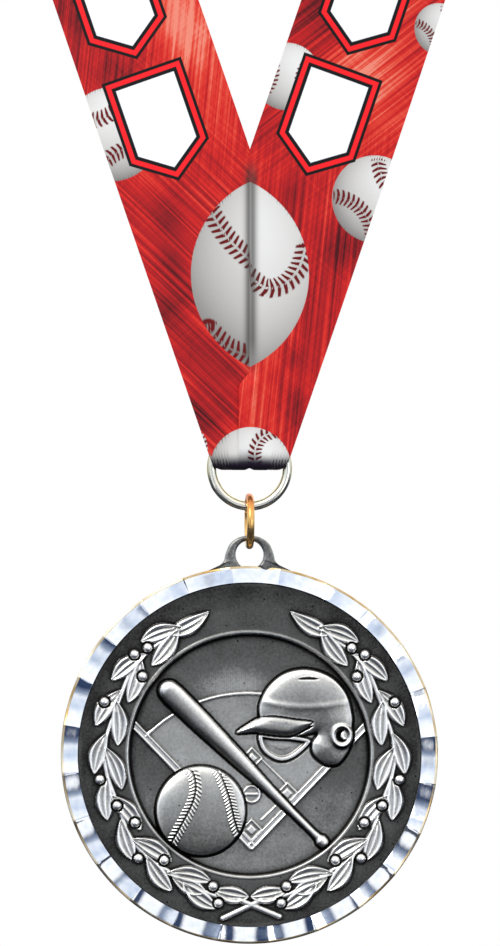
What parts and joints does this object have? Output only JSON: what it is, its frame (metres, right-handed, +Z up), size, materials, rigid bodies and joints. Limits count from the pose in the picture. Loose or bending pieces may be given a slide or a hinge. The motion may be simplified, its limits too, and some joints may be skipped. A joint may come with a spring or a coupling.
{
  "type": "sports finisher medal",
  "caption": "Round cast medal with a faceted rim, wreath and ball-game relief, hung by two rings from a V-shaped printed neck ribbon.",
  "frame": {"origin": "middle of the ribbon's inner face where it rests on the back of the neck", "axes": "+Z up as worn and hanging, -Y the way the medal's face looks, +X to the viewer's right from the front"},
  "size_m": [0.134, 0.0984, 0.387],
  "materials": {
    "antique_silver": "satin",
    "copper_gold_wire": "polished",
    "silver_wire": "polished",
    "printed_ribbon": "satin",
    "sewing_thread": "matte"
  },
  "bodies": {
    "ribbon": {"ribbon_left_front": "printed_ribbon", "ribbon_right_front": "printed_ribbon", "ribbon_left_shoulder": "printed_ribbon", "ribbon_right_shoulder": "printed_ribbon", "ribbon_nape": "printed_ribbon", "ribbon_ring_fold": "printed_ribbon", "centre_seam_thread": "sewing_thread", "ring_loop_thread": "sewing_thread"},
    "ribbon_ring": {"ribbon_ring": "silver_wire"},
    "jump_ring": {"jump_ring": "copper_gold_wire"},
    "medal": {"medal": "antique_silver"}
  },
  "joints": [
    {"name": "ribbon_ring_turn", "type": "hinge", "parent": "ribbon", "child": "ribbon_ring", "pos_m": [0, -0.08549, -0.30301], "axis": [0, 1, 0], "range_deg": [-45, 45]},
    {"name": "jump_ring_swing", "type": "hinge", "parent": "ribbon_ring", "child": "jump_ring", "pos_m": [0, -0.08549, -0.30909], "axis": [1, 0, 0], "range_deg": [-110, 110]},
    {"name": "medal_swing", "type": "hinge", "parent": "jump_ring", "child": "medal", "pos_m": [0, -0.08549, -0.31538], "axis": [0, 1, 0], "range_deg": [-45, 45]}
  ]
}
